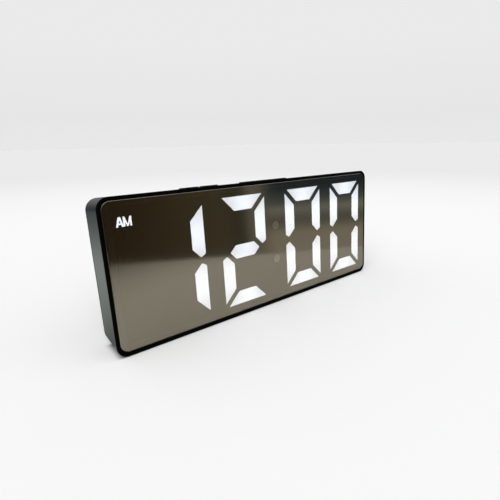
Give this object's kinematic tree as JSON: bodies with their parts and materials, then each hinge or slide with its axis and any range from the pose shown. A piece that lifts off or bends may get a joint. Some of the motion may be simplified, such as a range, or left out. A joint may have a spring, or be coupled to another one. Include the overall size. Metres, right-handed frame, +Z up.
{
  "type": "digital desk clock",
  "caption": "Slim tapered digital desk clock with a half-mirror front, seven-segment figures, keys on its top edge, and a coin-cell door and power inlet behind.",
  "frame": {"origin": "on the surface the clock stands on, under the middle of its bounding box", "axes": "+X to the viewer's right along the clock's length, +Y from the face to the back, +Z up"},
  "size_m": [0.16, 0.0216, 0.0625],
  "materials": {
    "case_plastic": "satin black moulded plastic, fine grain",
    "cover_plastic": "matt black moulded plastic, fine grain",
    "key_plastic": "satin black moulded plastic",
    "smoked_lens": "smoked acrylic with a half-mirror coat on its rear",
    "black_tape": "black foam tape",
    "black_film": "black printed film",
    "white_frame_plastic": "white reflecting plastic",
    "lit_diffuser": "frosted white plastic, lit from behind",
    "dark_diffuser": "frosted white plastic, unlit",
    "board_laminate": "glass-fibre laminate with a green mask",
    "led_body": "white moulding with a pale lens",
    "screw_steel": "zinc-plated steel",
    "black_screw_steel": "black-oxide steel",
    "chip_epoxy": "moulded epoxy",
    "tinned_metal": "tinned metal",
    "capacitor_can": "drawn aluminium can",
    "black_nylon": "matt black nylon",
    "tan_ceramic": "fired ceramic",
    "nickel_shell": "nickel-plated steel",
    "cell_steel": "satin stainless steel",
    "stem_plastic": "off-white nylon"
  },
  "bodies": {
    "clock_body": {"front_housing": "case_plastic", "rear_cover": "cover_plastic", "mirror_lens": "smoked_lens", "lens_tape": "black_tape", "segment_film": "black_film", "light_frame": "white_frame_plastic", "colon_diffusers": "dark_diffuser", "am_indicator": "lit_diffuser", "display_board": "board_laminate", "segment_leds": "led_body", "indicator_leds": "led_body", "board_screws": "screw_steel", "cover_screws": "black_screw_steel", "microcontroller": "chip_epoxy", "led_driver": "chip_epoxy", "chip_leads": "tinned_metal", "clock_crystal": "tinned_metal", "smoothing_capacitor": "capacitor_can", "capacitor_base": "black_nylon", "voltage_regulator": "chip_epoxy", "chip_resistors": "chip_epoxy", "chip_capacitors": "tan_ceramic", "buzzer": "black_nylon", "usb_inlet_shell": "nickel_shell", "usb_inlet_insert": "black_nylon", "coin_cell_holder": "black_nylon", "coin_cell": "cell_steel", "cell_contact_negative": "nickel_shell", "cell_contact_positive": "nickel_shell", "key_switches": "black_nylon", "hour_tens_lit_segments": "lit_diffuser", "hour_tens_dark_segments": "dark_diffuser", "hour_units_lit_segments": "lit_diffuser", "hour_units_dark_segments": "dark_diffuser", "minute_tens_lit_segments": "lit_diffuser", "minute_tens_dark_segments": "dark_diffuser", "minute_units_lit_segments": "lit_diffuser", "minute_units_dark_segments": "dark_diffuser"},
    "mode_key": {"mode_key": "key_plastic", "mode_switch_stem": "stem_plastic"},
    "set_key": {"set_key": "key_plastic", "set_switch_stem": "stem_plastic"},
    "down_key": {"down_key": "key_plastic", "down_switch_stem": "stem_plastic"},
    "up_key": {"up_key": "key_plastic", "up_switch_stem": "stem_plastic"},
    "light_key": {"light_key": "key_plastic", "light_switch_stem": "stem_plastic"},
    "coin_cell_door": {"coin_cell_door": "cover_plastic"}
  },
  "joints": [
    {"name": "mode_key_press", "type": "slide", "parent": "clock_body", "child": "mode_key", "axis": [0, 0.0663, 0.9978], "range_m": [-0.0004, 0], "stiffness_N_per_m": 4000},
    {"name": "set_key_press", "type": "slide", "parent": "clock_body", "child": "set_key", "axis": [0, 0.0663, 0.9978], "range_m": [-0.0004, 0], "stiffness_N_per_m": 4000},
    {"name": "down_key_press", "type": "slide", "parent": "clock_body", "child": "down_key", "axis": [0, 0.0663, 0.9978], "range_m": [-0.0004, 0], "stiffness_N_per_m": 4000},
    {"name": "up_key_press", "type": "slide", "parent": "clock_body", "child": "up_key", "axis": [0, 0.0663, 0.9978], "range_m": [-0.0004, 0], "stiffness_N_per_m": 4000},
    {"name": "light_key_press", "type": "slide", "parent": "clock_body", "child": "light_key", "axis": [0, 0.0663, 0.9978], "range_m": [-0.0004, 0], "stiffness_N_per_m": 4000},
    {"name": "coin_cell_door_turn", "type": "hinge", "parent": "clock_body", "child": "coin_cell_door", "pos_m": [0.03301, 0.0086, 0.02677], "axis": [0, 0.9978, -0.0663], "range_deg": [0, 40]}
  ]
}
